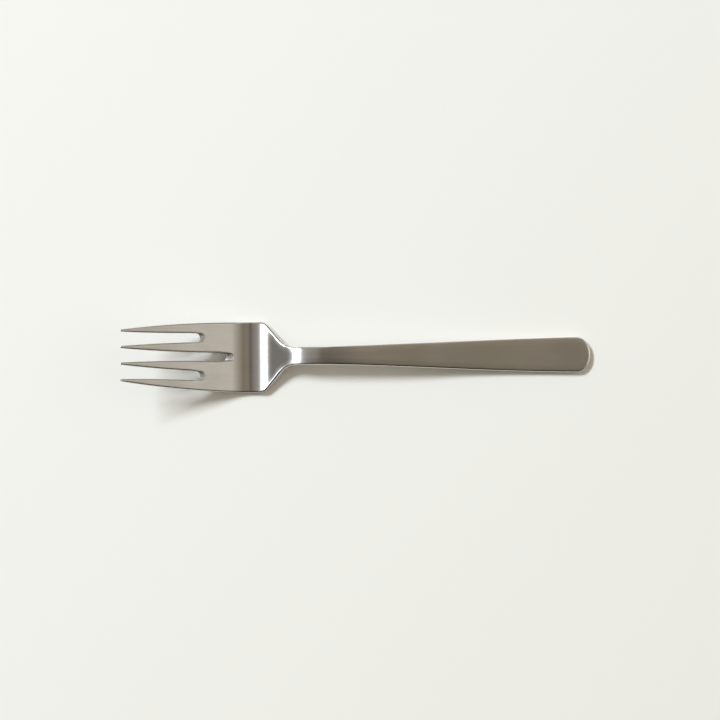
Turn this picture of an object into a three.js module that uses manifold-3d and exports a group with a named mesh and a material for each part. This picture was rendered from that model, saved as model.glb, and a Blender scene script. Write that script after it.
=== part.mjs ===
// A fish fork of satin stainless steel: four tapering tines, a shallow bowl, sloping shoulders, a raised neck
// and a long flat handle that widens to a rounded end.
//
// The fork is forged from one flat blank. Each section is shaped flat, in the blank's own coordinates, and then
// pressed along the side profile, so neighbouring sections meet face to face:
//   station  distance along the blank from the handle end
//   side     distance across the blank from its centre line
//   lift     distance from the blank's middle plane
// Millimetres and degrees. +X runs from the handle end to the tips, +Z is up, and the table is the plane Z = 0.
import * as THREE from "three";
import { mergeVertices } from "three/addons/utils/BufferGeometryUtils.js";
import Module from "manifold-3d";

const wasm = await Module();
wasm.setup();

// Side profile: lengths along the blank, and the angle that each length turns through or reaches
const END_FLAT = 11; // the end of the handle that lies flat on the table
const SWEEP_LENGTH = 48; // where the handle curves up off the table
const SWEEP_ANGLE = 7.8; // the steepest slope of the handle
const BACK_LENGTH = 30; // where the handle begins to level out again
const BACK_ANGLE = 5.4;
const CREST_LENGTH = 12; // the last of the levelling, up to the crest
const EASE_LENGTH = 6.8; // the slow dip of the neck beyond the crest
const EASE_ANGLE = 8;
const DIP_LENGTH = 6.45; // the bend from the neck down into the ramp
const RAMP_ANGLE = 24.5; // the slope of the shoulders' ramp
const BOWL_RADIUS = 20.5; // the bend of the bowl, at mid thickness
const TINE_ANGLE = 22.4; // the rise of the tines
const PLATE_LENGTH = 43.25; // the straight plate from the bowl's bend to the tips

// Thickness of the metal
const END_THICKNESS = 2.8;
const NECK_THICKNESS = 3.6;
const BOWL_THICKNESS = 2.5;
const TINE_THICKNESS = 2.2; // at the root of the tines
const TIP_THICKNESS = 1.1;

// Outline of the handle and neck
const HANDLE_WIDTH = 13.25;
const END_ROUND = 5.2; // length of the rounded end
const END_EASE = 0.41; // how much the sides still close in ahead of the full width
const NECK_WIDTH = 6.7;
const NECK_EASE = 0.7; // how much the sides have opened a third of the way from the neck
const NECK_LENGTH = 13.3; // from the crest to where the shoulder line meets the neck line

// Outline of the shoulders and bowl
const SHOULDER_ANGLE = 47.5;
const NECK_FILLET = 8;
const SHOULDER_CORNER = 3;
const BOWL_WIDTH = 26.4;

// Slots and tines
const SLOT_PITCH = 7.1; // between the centre lines of neighbouring slots
const CENTRE_SLOT_WIDTH = 3.1;
const CENTRE_SLOT_DEPTH = 42.7; // from the tips to the root of the slot
const CENTRE_SLOT_LEAN = 2.4; // how far the root's wall leans back through the thickness
const OUTER_SLOT_WIDTH = 3.4;
const OUTER_SLOT_DEPTH = 31.9;
const OUTER_SLOT_LEAN = 1.2;
const ROOT_LAND = 1; // from the round of the outer slots to where the tines begin
const TIP_PITCH = 6.1;
const TIP_WIDTH = 0.9;
const TIP_ROUND = 0.6;
const TINE_BOW = 0.22; // how far the sides of a tine swell beyond straight lines

// Rolled edges
const HANDLE_ROLL_WIDTH = 0.7;
const HANDLE_ROLL_HEIGHT = 0.6;
const HEAD_ROLL_WIDTH = 0.5;
const HEAD_ROLL_HEIGHT = 0.5;

// Fineness of the facets
const HANDLE_STEP = 4.5;
const BEND_STEP = 1.1;
const TINE_STEP = 2.4;
const ROUND_STEPS = 6;
const ROLL_STEPS = 3;
const SLOT_STEPS = 8;
const ROLL_SHARE = 0.9; // the most of a half width or half thickness that a roll may take
const CUTTER_REACH = 12; // how far a slot cutter reaches past the metal

const STEEL_COLOUR = 0xb0a99c;

const { degToRad, lerp, smoothstep } = THREE.MathUtils;

// Goes on from a place on the side profile along an arc of the given length and turn
function advance(place, length, turn) {
  const bend = degToRad(turn);
  const heading = place.angle + bend / 2;
  const chord = bend === 0 ? length : (length * Math.sin(bend / 2)) / (bend / 2);
  return {
    x: place.x + chord * Math.cos(heading),
    z: place.z + chord * Math.sin(heading),
    angle: place.angle + bend,
  };
}

// The side profile as a row of arcs from the handle end. The ramp is as long as it takes to set the bowl down on
// the table, and the tines are straight.
const handleEnd = { x: 0, z: END_THICKNESS / 2, angle: 0 };
const legs = [
  { length: END_FLAT, turn: 0 },
  { length: SWEEP_LENGTH, turn: SWEEP_ANGLE },
  { length: BACK_LENGTH, turn: -BACK_ANGLE },
  { length: CREST_LENGTH, turn: BACK_ANGLE - SWEEP_ANGLE },
  { length: EASE_LENGTH, turn: -EASE_ANGLE },
  { length: DIP_LENGTH, turn: EASE_ANGLE - RAMP_ANGLE },
];
const rampTop = legs.reduce((place, { length, turn }) => advance(place, length, turn), handleEnd);
const bowlDrop = BOWL_RADIUS * (1 - Math.cos(degToRad(RAMP_ANGLE)));
const rampLength = (rampTop.z - BOWL_THICKNESS / 2 - bowlDrop) / Math.sin(degToRad(RAMP_ANGLE));
const bowlTurn = RAMP_ANGLE + TINE_ANGLE;
const bowlLength = BOWL_RADIUS * degToRad(bowlTurn);
legs.push({ length: rampLength, turn: 0 });
legs.push({ length: bowlLength, turn: bowlTurn });
legs.push({ length: PLATE_LENGTH, turn: 0 });

// Stations where one stretch of the blank gives way to the next
const crest = END_FLAT + SWEEP_LENGTH + BACK_LENGTH + CREST_LENGTH;
const bowlStart = crest + EASE_LENGTH + DIP_LENGTH + rampLength;
const bowlBottom = bowlStart + BOWL_RADIUS * degToRad(RAMP_ANGLE);
const plateStart = bowlStart + bowlLength;
const tip = plateStart + PLATE_LENGTH;
const tineRoot = tip - OUTER_SLOT_DEPTH + OUTER_SLOT_WIDTH / 2 + ROOT_LAND;

// The shoulder line runs from the neck line to the bowl line, with a fillet at its foot and a round corner on top
const shoulderSlope = Math.tan(degToRad(SHOULDER_ANGLE));
const shoulderFoot = crest + NECK_LENGTH;
const shoulderTop = shoulderFoot + (BOWL_WIDTH - NECK_WIDTH) / 2 / shoulderSlope;
const filletReach = NECK_FILLET * Math.tan(degToRad(SHOULDER_ANGLE) / 2);
const cornerReach = SHOULDER_CORNER * Math.tan(degToRad(SHOULDER_ANGLE) / 2);
const flareStart = shoulderFoot - filletReach;
const flareEnd = shoulderFoot + filletReach * Math.cos(degToRad(SHOULDER_ANGLE));
const cornerStart = shoulderTop - cornerReach * Math.cos(degToRad(SHOULDER_ANGLE));
const cornerEnd = shoulderTop + cornerReach;

function profileAt(station) {
  let place = handleEnd;
  let rest = station;
  for (const { length, turn } of legs) {
    const part = Math.min(rest, length);
    place = advance(place, part, (turn * part) / length);
    rest -= part;
    if (rest <= 0) break;
  }
  return place;
}

// Lays a point of the flat blank on the side profile
function press({ station, side, lift }) {
  const { x, z, angle } = profileAt(station);
  return new THREE.Vector3(x - lift * Math.sin(angle), side, z + lift * Math.cos(angle));
}

// Thickness changes smoothly from each named place to the next, and evenly along the tines
function thickness(station) {
  if (station >= tineRoot) return lerp(TINE_THICKNESS, TIP_THICKNESS, (station - tineRoot) / (tip - tineRoot));
  const towardNeck = smoothstep(station, END_FLAT, crest) * (NECK_THICKNESS - END_THICKNESS);
  const towardBowl = smoothstep(station, crest, bowlBottom) * (BOWL_THICKNESS - NECK_THICKNESS);
  const towardTines = smoothstep(station, bowlBottom, tineRoot) * (TINE_THICKNESS - BOWL_THICKNESS);
  return END_THICKNESS + towardNeck + towardBowl + towardTines;
}

// Half width of the handle: an elliptical end, then sides that close in gently to the neck
const handleSide = new THREE.CubicBezierCurve(
  new THREE.Vector2(END_ROUND, HANDLE_WIDTH / 2),
  new THREE.Vector2(lerp(END_ROUND, crest, 1 / 3), HANDLE_WIDTH / 2 - END_EASE),
  new THREE.Vector2(lerp(END_ROUND, crest, 2 / 3), NECK_WIDTH / 2 + NECK_EASE),
  new THREE.Vector2(crest, NECK_WIDTH / 2),
);

function roundShare(distance, reach) {
  return Math.sqrt(1 - (1 - Math.min(distance / reach, 1)) ** 2);
}

function handleHalf(station) {
  if (station < END_ROUND) return (HANDLE_WIDTH / 2) * roundShare(station, END_ROUND);
  return handleSide.getPoint((station - END_ROUND) / (crest - END_ROUND)).y;
}

// Half width from the crest through the shoulders to the bowl
function shoulderHalf(station) {
  if (station < flareStart) return NECK_WIDTH / 2;
  if (station < flareEnd) {
    return NECK_WIDTH / 2 + NECK_FILLET - Math.sqrt(NECK_FILLET ** 2 - (station - flareStart) ** 2);
  }
  if (station < cornerStart) return NECK_WIDTH / 2 + shoulderSlope * (station - shoulderFoot);
  const back = Math.max(cornerEnd - station, 0);
  return BOWL_WIDTH / 2 - SHOULDER_CORNER + Math.sqrt(SHOULDER_CORNER ** 2 - back ** 2);
}

// Half width from the bowl's bottom to the tips, one long even curve
function headHalf(station) {
  const tipHalf = 1.5 * TIP_PITCH + TIP_WIDTH / 2;
  const along = Math.max(station - bowlBottom, 0) / (tip - bowlBottom);
  return BOWL_WIDTH / 2 - (BOWL_WIDTH / 2 - tipHalf) * along ** 2;
}

// Edges are rolled a little more broadly on the handle and neck than on the head
function rollAt(station, half, gauge) {
  const toHead = smoothstep(station, flareStart, bowlStart);
  return {
    width: Math.min(lerp(HANDLE_ROLL_WIDTH, HEAD_ROLL_WIDTH, toHead), half * ROLL_SHARE),
    height: Math.min(lerp(HANDLE_ROLL_HEIGHT, HEAD_ROLL_HEIGHT, toHead), (gauge / 2) * ROLL_SHARE),
  };
}

// Cross-section of the blank at a station, between two sides: a rectangle with elliptical corners
function section(station, low, high, gauge) {
  const middle = (low + high) / 2;
  const half = (high - low) / 2;
  const roll = rollAt(station, half, gauge);
  const points = [];
  for (const quarter of [0, 1, 2, 3]) {
    const toSide = quarter === 0 || quarter === 3 ? 1 : -1;
    const toTop = quarter < 2 ? 1 : -1;
    for (let step = 0; step <= ROLL_STEPS; step += 1) {
      const turn = ((quarter + step / ROLL_STEPS) * Math.PI) / 2;
      points.push({
        station,
        side: middle + toSide * (half - roll.width) + roll.width * Math.cos(turn),
        lift: toTop * (gauge / 2 - roll.height) + roll.height * Math.sin(turn),
      });
    }
  }
  return points;
}

// Skins a row of cross-sections into one closed solid, pressed to the side profile
function skin(sections) {
  const count = sections[0].length;
  const last = (sections.length - 1) * count;
  const positions = sections.flat().flatMap((point) => press(point).toArray());
  const triangles = [];
  for (let base = 0; base < last; base += count) {
    for (let near = 0; near < count; near += 1) {
      const next = (near + 1) % count;
      triangles.push(base + near, base + next, base + count + near);
      triangles.push(base + next, base + count + next, base + count + near);
    }
  }
  for (let corner = 1; corner < count - 1; corner += 1) {
    triangles.push(0, corner + 1, corner);
    triangles.push(last, last + corner, last + corner + 1);
  }
  const geometry = new THREE.BufferGeometry();
  geometry.setAttribute("position", new THREE.Float32BufferAttribute(positions, 3));
  geometry.setIndex(triangles);
  geometry.computeVertexNormals();
  return geometry;
}

// Evenly spaced stations, both ends included
function stations(from, to, step) {
  const count = Math.ceil((to - from) / step);
  return Array.from({ length: count + 1 }, (_, index) => lerp(from, to, index / count));
}

// Stations that crowd towards a rounded end, from the end inwards, given as distances from that end
function roundedDistances(reach) {
  return Array.from({ length: ROUND_STEPS }, (_, index) => {
    const turn = ((index + 0.5) / ROUND_STEPS) * (Math.PI / 2);
    return reach * (1 - Math.cos(turn));
  });
}

function symmetricSection(station, half, gauge) {
  return section(station, -half, half, gauge);
}

function makeHandle() {
  const rows = [...roundedDistances(END_ROUND), END_ROUND, ...stations(END_FLAT, crest, HANDLE_STEP)];
  const sections = rows.map((station) => {
    const rolledOff = HANDLE_ROLL_HEIGHT * (1 - roundShare(station, HANDLE_ROLL_WIDTH));
    return symmetricSection(station, handleHalf(station), thickness(station) - 2 * rolledOff);
  });
  return skin(sections);
}

function makeStretch(from, to, halfWidth) {
  const rows = stations(from, to, BEND_STEP);
  return skin(rows.map((station) => symmetricSection(station, halfWidth(station), thickness(station))));
}

// A solid that cuts one slot: parallel sides and a round root, leaning back through the thickness
function makeSlotCutter(side, width, depth, lean) {
  const radius = width / 2;
  const centre = tip - depth + radius;
  const mouth = tineRoot + CUTTER_REACH;
  const outline = new THREE.Shape();
  outline.moveTo(mouth, side + radius);
  outline.lineTo(centre, side + radius);
  outline.absarc(centre, side, radius, Math.PI / 2, (3 * Math.PI) / 2, false);
  outline.lineTo(mouth, side - radius);
  outline.closePath();
  const cutter = new THREE.ExtrudeGeometry(outline, {
    depth: 2 * CUTTER_REACH,
    bevelEnabled: false,
    curveSegments: SLOT_STEPS,
  });
  cutter.translate(0, 0, -CUTTER_REACH);
  const leanBack = new THREE.Matrix4().makeShear(0, 0, 0, 0, -lean / TINE_THICKNESS, 0);
  return cutter.applyMatrix4(leanBack).applyMatrix4(platePlace());
}

// Carries flat coordinates onto the plane of the tines
function platePlace() {
  const { x, z, angle } = profileAt(plateStart);
  const along = new THREE.Vector3(Math.cos(angle), 0, Math.sin(angle));
  const across = new THREE.Vector3(0, 1, 0);
  const up = new THREE.Vector3(-Math.sin(angle), 0, Math.cos(angle));
  const start = new THREE.Vector3(x, 0, z).addScaledVector(along, -plateStart);
  return new THREE.Matrix4().makeBasis(along, across, up).setPosition(start);
}

function toSolid(geometry) {
  const bare = geometry.clone();
  bare.deleteAttribute("normal");
  bare.deleteAttribute("uv");
  const merged = mergeVertices(bare);
  return new wasm.Manifold(
    new wasm.Mesh({
      numProp: 3,
      vertProperties: new Float32Array(merged.getAttribute("position").array),
      triVerts: new Uint32Array(merged.getIndex().array),
    }),
  );
}

function toGeometry(solid) {
  const mesh = solid.getMesh();
  const geometry = new THREE.BufferGeometry();
  geometry.setAttribute("position", new THREE.BufferAttribute(mesh.vertProperties, 3));
  geometry.setIndex(new THREE.BufferAttribute(mesh.triVerts, 1));
  geometry.computeVertexNormals();
  return geometry;
}

function makeBowl() {
  const plate = toSolid(makeStretch(cornerEnd, tineRoot, headHalf));
  const slots = [
    makeSlotCutter(0, CENTRE_SLOT_WIDTH, CENTRE_SLOT_DEPTH, CENTRE_SLOT_LEAN),
    makeSlotCutter(SLOT_PITCH, OUTER_SLOT_WIDTH, OUTER_SLOT_DEPTH, OUTER_SLOT_LEAN),
    makeSlotCutter(-SLOT_PITCH, OUTER_SLOT_WIDTH, OUTER_SLOT_DEPTH, OUTER_SLOT_LEAN),
  ];
  return toGeometry(slots.reduce((solid, slot) => solid.subtract(toSolid(slot)), plate));
}

// The side of a tine from its root to its tip, swelling beyond the straight line by the bow
function bowedSide(rootSide, tipSide, bow) {
  return (along) => lerp(rootSide, tipSide, along) + bow * 4 * along * (1 - along);
}

const innerTine = {
  low: bowedSide(CENTRE_SLOT_WIDTH / 2, TIP_PITCH / 2 - TIP_WIDTH / 2, -TINE_BOW),
  high: bowedSide(SLOT_PITCH - OUTER_SLOT_WIDTH / 2, TIP_PITCH / 2 + TIP_WIDTH / 2, TINE_BOW),
};
const outerTine = {
  low: bowedSide(SLOT_PITCH + OUTER_SLOT_WIDTH / 2, 1.5 * TIP_PITCH - TIP_WIDTH / 2, -TINE_BOW),
  high: (along) => headHalf(lerp(tineRoot, tip, along)),
};

// A tine on the left of the centre line, or its mirror image on the right
function makeTine({ low, high }, hand) {
  const tipRows = roundedDistances(TIP_ROUND).reverse();
  const rows = [...stations(tineRoot, tip - TIP_ROUND, TINE_STEP), ...tipRows.map((distance) => tip - distance)];
  const sections = rows.map((station) => {
    const along = (station - tineRoot) / (tip - tineRoot);
    const middle = (hand * (low(along) + high(along))) / 2;
    const share = roundShare(tip - station, TIP_ROUND);
    const half = (share * (high(along) - low(along))) / 2;
    return section(station, middle - half, middle + half, share * thickness(station));
  });
  return skin(sections);
}

function addPiece(fork, name, geometry) {
  const steel = new THREE.MeshStandardMaterial({ color: STEEL_COLOUR, metalness: 1, roughness: 0.35 });
  const piece = new THREE.Mesh(geometry, steel);
  piece.name = name;
  fork.add(piece);
}

const fork = new THREE.Group();
fork.name = "fish_fork";
addPiece(fork, "handle", makeHandle());
addPiece(fork, "neck", makeStretch(crest, flareStart, shoulderHalf));
addPiece(fork, "shoulder", makeStretch(flareStart, cornerEnd, shoulderHalf));
addPiece(fork, "bowl", makeBowl());
addPiece(fork, "left_outer_tine", makeTine(outerTine, 1));
addPiece(fork, "left_inner_tine", makeTine(innerTine, 1));
addPiece(fork, "right_inner_tine", makeTine(innerTine, -1));
addPiece(fork, "right_outer_tine", makeTine(outerTine, -1));

// The origin lies on the table, under the middle of the fork
const extent = new THREE.Box3().setFromObject(fork);
fork.position.x = -(extent.min.x + extent.max.x) / 2;

export default fork;
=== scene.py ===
"""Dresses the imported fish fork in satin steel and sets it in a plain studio.

The skin of the fork is drawn as quads on its flat blank, in millimetres: station along the blank from the
handle end, side across it, and lift from its middle plane. One Geometry Nodes tree subdivides the flat skin,
presses it along the side profile and hands out the eight forged sections, which meet edge to edge.
"""

import logging
import math
from collections import Counter
from collections.abc import Callable
from dataclasses import dataclass, field
from enum import Enum, IntEnum
from functools import cached_property

import bmesh
import bpy
import numpy as np
from mathutils import Matrix, Vector

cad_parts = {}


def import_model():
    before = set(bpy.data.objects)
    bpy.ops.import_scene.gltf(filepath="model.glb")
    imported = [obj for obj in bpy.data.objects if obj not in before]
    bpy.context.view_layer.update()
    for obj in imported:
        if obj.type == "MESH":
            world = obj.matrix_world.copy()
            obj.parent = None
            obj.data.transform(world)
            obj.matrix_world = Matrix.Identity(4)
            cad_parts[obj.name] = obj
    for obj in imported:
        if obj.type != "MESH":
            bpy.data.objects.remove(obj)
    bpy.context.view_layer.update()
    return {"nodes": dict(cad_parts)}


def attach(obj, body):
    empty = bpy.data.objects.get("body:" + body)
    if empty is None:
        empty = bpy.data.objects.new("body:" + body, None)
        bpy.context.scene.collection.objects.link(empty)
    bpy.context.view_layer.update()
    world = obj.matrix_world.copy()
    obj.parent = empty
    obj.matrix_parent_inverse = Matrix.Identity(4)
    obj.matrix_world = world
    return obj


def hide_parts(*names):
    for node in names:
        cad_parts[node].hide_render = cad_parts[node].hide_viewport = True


MM = 0.001
QUARTER_TURN = 90.0
HALF_TURN = 180.0
BODY = "root"
SLOT_NAME = "satin_steel"

# The map of the skin holds a hundredth of the blank's millimetres
BLANK_MAP = "blank"
MAP_SHARE = 0.01
SECTION_ATTRIBUTE = "section"
RIM_ATTRIBUTE = "rim"
CUT_ATTRIBUTE = "cut"
NORMAL_ATTRIBUTE = "skin_normal"

# Numbers of the mix node's colour inputs and output, and of the compare node's whole number inputs
MIX_FIRST = 6
MIX_SECOND = 7
MIX_RESULT = 2
COMPARE_FIRST = 2
COMPARE_SECOND = 3

Point = tuple[float, float]
Spot = tuple[float, float, float]
Colour = tuple[float, float, float]
Edge = tuple[int, int]
Socket = bpy.types.NodeSocket
Value = Socket | float | str | tuple[float, ...]
Links = dict[str | int, Value]

log = logging.getLogger("fish_fork")


def lerp(start: float, end: float, share: float) -> float:
    """Value at a share of the way from start to end."""
    return start + (end - start) * share


def smooth(value: float, low: float, high: float) -> float:
    """Share from 0 to 1 as value goes from low to high, easing at both ends."""
    share = min(max((value - low) / (high - low), 0.0), 1.0)
    return share * share * (3 - 2 * share)


def spaced(start: float, end: float, step: float) -> list[float]:
    """Even stations from start to end, both included, no further apart than step."""
    count = max(1, math.ceil((end - start) / step))
    return [lerp(start, end, index / count) for index in range(count + 1)]


def joined(*groups: list[float]) -> list[float]:
    """Groups of values in a row, each starting with the last value of the one before it.

    Args:
        *groups: The groups in order.

    Returns:
        The joined values.
    """
    values = list(groups[0])
    for group in groups[1:]:
        values.extend(group[1:])
    return values


class Section(IntEnum):
    """The forged sections, named as the CAD nodes that they stand for."""

    HANDLE = 0
    NECK = 1
    SHOULDER = 2
    BOWL = 3
    LEFT_OUTER_TINE = 4
    LEFT_INNER_TINE = 5
    RIGHT_INNER_TINE = 6
    RIGHT_OUTER_TINE = 7

    @property
    def node(self) -> str:
        """Name of the CAD node."""
        return self.name.lower()


class Tine(Enum):
    """The two kinds of tine on one side of the centre line."""

    INNER = "inner"
    OUTER = "outer"


class Heading(IntEnum):
    """Which way a rounded end of the blank points."""

    TO_HANDLE_END = -1
    TO_TIPS = 1


@dataclass(frozen=True)
class Leg:
    """One stretch of the side profile: its length and the angle that it turns through, in degrees."""

    length: float
    turn: float


@dataclass(frozen=True)
class Place:
    """A point on the side profile and the heading there, in radians."""

    x: float
    z: float
    angle: float

    def advance(self, length: float, turn: float) -> "Place":
        """Goes on along an arc.

        Args:
            length: Length of the arc.
            turn: Angle that it turns through, in degrees.

        Returns:
            The place at the far end of the arc.
        """
        bend = math.radians(turn)
        heading = self.angle + bend / 2
        chord = length if bend == 0 else length * math.sin(bend / 2) / (bend / 2)
        x = self.x + chord * math.cos(heading)
        z = self.z + chord * math.sin(heading)
        return Place(x, z, self.angle + bend)


@dataclass(frozen=True)
class SideProfile:
    """The fork from its side: a row of arcs along the middle of the metal, from handle end to tips."""

    end_x: float = -87.455
    end_thickness: float = 2.8
    bowl_thickness: float = 2.5
    end_flat: float = 11.0
    sweep_length: float = 48.0
    sweep_angle: float = 7.8
    back_length: float = 30.0
    back_angle: float = 5.4
    crest_length: float = 12.0
    ease_length: float = 6.8
    ease_angle: float = 8.0
    dip_length: float = 6.45
    ramp_angle: float = 24.5
    bowl_radius: float = 20.5
    tine_angle: float = 22.4
    plate_length: float = 43.25
    curve_step: float = 0.2

    @cached_property
    def start(self) -> Place:
        """The middle of the metal at the handle end."""
        return Place(self.end_x, self.end_thickness / 2, 0.0)

    @cached_property
    def legs(self) -> list[Leg]:
        """The arcs in order. The ramp is as long as it takes to set the bowl down on the table."""
        first = [
            Leg(self.end_flat, 0.0),
            Leg(self.sweep_length, self.sweep_angle),
            Leg(self.back_length, -self.back_angle),
            Leg(self.crest_length, self.back_angle - self.sweep_angle),
            Leg(self.ease_length, -self.ease_angle),
            Leg(self.dip_length, self.ease_angle - self.ramp_angle),
        ]
        place = self.start
        for leg in first:
            place = place.advance(leg.length, leg.turn)
        ramp = math.radians(self.ramp_angle)
        drop = self.bowl_radius * (1 - math.cos(ramp))
        ramp_length = (place.z - self.bowl_thickness / 2 - drop) / math.sin(ramp)
        bowl_turn = self.ramp_angle + self.tine_angle
        bowl_length = self.bowl_radius * math.radians(bowl_turn)
        return [*first, Leg(ramp_length, 0.0), Leg(bowl_length, bowl_turn), Leg(self.plate_length, 0.0)]

    @cached_property
    def crest(self) -> float:
        """Station of the highest point of the neck."""
        return self.end_flat + self.sweep_length + self.back_length + self.crest_length

    @cached_property
    def bowl_start(self) -> float:
        """Station where the ramp gives way to the last two legs, the bend of the bowl and the plate."""
        return sum(leg.length for leg in self.legs[:-2])

    @cached_property
    def bowl_bottom(self) -> float:
        """Station where the bowl touches the table."""
        return self.bowl_start + self.bowl_radius * math.radians(self.ramp_angle)

    @cached_property
    def tip(self) -> float:
        """Station of the tips."""
        return sum(leg.length for leg in self.legs)

    def place(self, station: float) -> Place:
        """Place on the profile at a station.

        Args:
            station: Distance along the blank from the handle end.

        Returns:
            The place and the heading there.
        """
        place = self.start
        rest = station
        for leg in self.legs:
            part = min(rest, leg.length)
            place = place.advance(part, leg.turn * part / leg.length)
            rest -= part
            if rest <= 0:
                break
        return place

    def make_curve(self) -> bpy.types.Object:
        """Draws the profile as a poly curve in metres, for the pressing tree to follow.

        Returns:
            The curve object, linked to the scene.
        """
        stations = spaced(0.0, self.tip, self.curve_step)
        curve = bpy.data.curves.new("side_profile", "CURVE")
        curve.dimensions = "3D"
        spline = curve.splines.new("POLY")
        spline.points.add(len(stations) - 1)
        for point, station in zip(spline.points, stations):
            place = self.place(station)
            point.co = (place.x * MM, 0.0, place.z * MM, 1.0)
        made = bpy.data.objects.new("side_profile", curve)
        bpy.context.scene.collection.objects.link(made)
        return made


@dataclass(frozen=True)
class Slot:
    """A slot between two tines: where its round root lies and how its root wall leans."""

    side: float
    width: float
    depth: float
    lean: float
    fade: float

    @property
    def radius(self) -> float:
        """Radius of the round root."""
        return self.width / 2


@dataclass(frozen=True)
class Blank:
    """The flat blank: its outline, thickness and rolled edges, in millimetres."""

    profile: SideProfile = field(default_factory=SideProfile)
    neck_thickness: float = 3.6
    tine_thickness: float = 2.2
    taper_ease: float = 0.3
    tip_thickness: float = 1.1
    handle_width: float = 13.25
    end_round: float = 5.2
    end_ease: float = 0.41
    neck_width: float = 6.7
    neck_ease: float = 0.7
    neck_length: float = 13.3
    shoulder_angle: float = 47.5
    neck_fillet: float = 8.0
    shoulder_corner: float = 3.0
    bowl_width: float = 26.4
    root_land: float = 1.0
    tip_pitch: float = 6.1
    tip_width: float = 0.9
    tip_round: float = 0.6
    tine_bow: float = 0.22
    handle_roll_width: float = 0.7
    handle_roll_height: float = 0.6
    head_roll_width: float = 0.7
    head_roll_height: float = 0.5
    roll_share: float = 0.9
    crown_width: float = 2.8
    handle_crown: float = 0.22
    neck_crown: float = 0.40
    shoulder_crown: float = 0.28
    lean_reach: float = 4.0
    cut_fade: float = 3.0
    cut_roll: float = 0.12
    centre_slot: Slot = Slot(side=0.0, width=3.1, depth=42.7, lean=2.4, fade=4.0)
    outer_slot: Slot = Slot(side=7.1, width=3.4, depth=31.9, lean=1.2, fade=1.0)

    @cached_property
    def flare_start(self) -> float:
        """Station where the neck begins to flare."""
        return self.shoulder_foot - self.fillet_reach

    @cached_property
    def shoulder_foot(self) -> float:
        """Station where the shoulder line would meet the neck line."""
        return self.profile.crest + self.neck_length

    @cached_property
    def fillet_reach(self) -> float:
        """Length of the fillet along the neck line."""
        return self.neck_fillet * math.tan(math.radians(self.shoulder_angle) / 2)

    @cached_property
    def corner_reach(self) -> float:
        """Length of the round corner along the bowl line."""
        return self.shoulder_corner * math.tan(math.radians(self.shoulder_angle) / 2)

    @cached_property
    def flare_end(self) -> float:
        """Station where the fillet gives way to the straight shoulder line."""
        return self.shoulder_foot + self.fillet_reach * math.cos(math.radians(self.shoulder_angle))

    @cached_property
    def shoulder_top(self) -> float:
        """Station where the shoulder line would meet the bowl line."""
        rise = (self.bowl_width - self.neck_width) / 2
        return self.shoulder_foot + rise / math.tan(math.radians(self.shoulder_angle))

    @cached_property
    def corner_start(self) -> float:
        """Station where the shoulder line begins to round into the bowl."""
        return self.shoulder_top - self.corner_reach * math.cos(math.radians(self.shoulder_angle))

    @cached_property
    def corner_end(self) -> float:
        """Station where the full width of the bowl is reached."""
        return self.shoulder_top + self.corner_reach

    @cached_property
    def tine_root(self) -> float:
        """Station where the tines begin."""
        return self.root_centre(self.outer_slot) + self.root_land

    @property
    def slots(self) -> tuple[Slot, Slot]:
        """The centre slot, and the outer slot on either side of it."""
        return self.centre_slot, self.outer_slot

    @property
    def outer_tip(self) -> float:
        """Side of the middle of an outer tip, one and a half pitches from the centre line."""
        return 1.5 * self.tip_pitch

    def root_centre(self, slot: Slot) -> float:
        """Station of the centre of a slot's round root."""
        return self.profile.tip - slot.depth + slot.radius

    def root_offset(self, slot: Slot, station: float, side: float) -> float:
        """Distance of a place from the edge of a slot, round its root and beside it."""
        behind = min(station - self.root_centre(slot), 0.0)
        return math.hypot(behind, abs(side) - slot.side) - slot.radius

    def tine_at(self, side: float) -> Tine:
        """The tine that a place beyond the roots belongs to."""
        return Tine.INNER if abs(side) < self.outer_slot.side else Tine.OUTER

    def thickness(self, station: float) -> float:
        """Thickness of the metal at a station.

        Args:
            station: Distance along the blank from the handle end.

        Returns:
            The thickness.
        """
        profile = self.profile
        if station >= self.tine_root:
            along = (station - self.tine_root) / (profile.tip - self.tine_root)
            return lerp(self.tine_thickness, self.tip_thickness, self.eased(along))
        to_neck = smooth(station, profile.end_flat, profile.crest)
        to_bowl = smooth(station, profile.crest, profile.bowl_bottom)
        to_tines = smooth(station, profile.bowl_bottom, self.tine_root)
        thickness = profile.end_thickness + to_neck * (self.neck_thickness - profile.end_thickness)
        thickness += to_bowl * (profile.bowl_thickness - self.neck_thickness)
        return thickness + to_tines * (self.tine_thickness - profile.bowl_thickness)

    def eased(self, along: float) -> float:
        """Share of the taper at a share of the tine's length. The taper sets in gently and then runs evenly.

        Args:
            along: Share of the tine's length.

        Returns:
            Share of the taper.
        """
        ease = self.taper_ease
        run = along**2 / (2 * ease) if along < ease else along - ease / 2
        return run / (1 - ease / 2)

    def half(self, station: float) -> float:
        """Half width of the outline between the rounded end and the tips.

        Args:
            station: Distance along the blank from the handle end.

        Returns:
            Half the width.
        """
        if station < self.profile.crest:
            return self.handle_half(station)
        if station < self.corner_end:
            return self.shoulder_half(station)
        return self.head_half(station)

    def handle_half(self, station: float) -> float:
        """Half width of the handle beyond its rounded end, closing in gently to the neck.

        Args:
            station: Distance along the blank from the handle end.

        Returns:
            Half the width.
        """
        share = (station - self.end_round) / (self.profile.crest - self.end_round)
        wide = self.handle_width / 2
        narrow = self.neck_width / 2
        stops = (wide, wide - self.end_ease, narrow + self.neck_ease, narrow)
        weights = ((1 - share) ** 3, 3 * share * (1 - share) ** 2, 3 * share**2 * (1 - share), share**3)
        return sum(stop * weight for stop, weight in zip(stops, weights))

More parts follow.
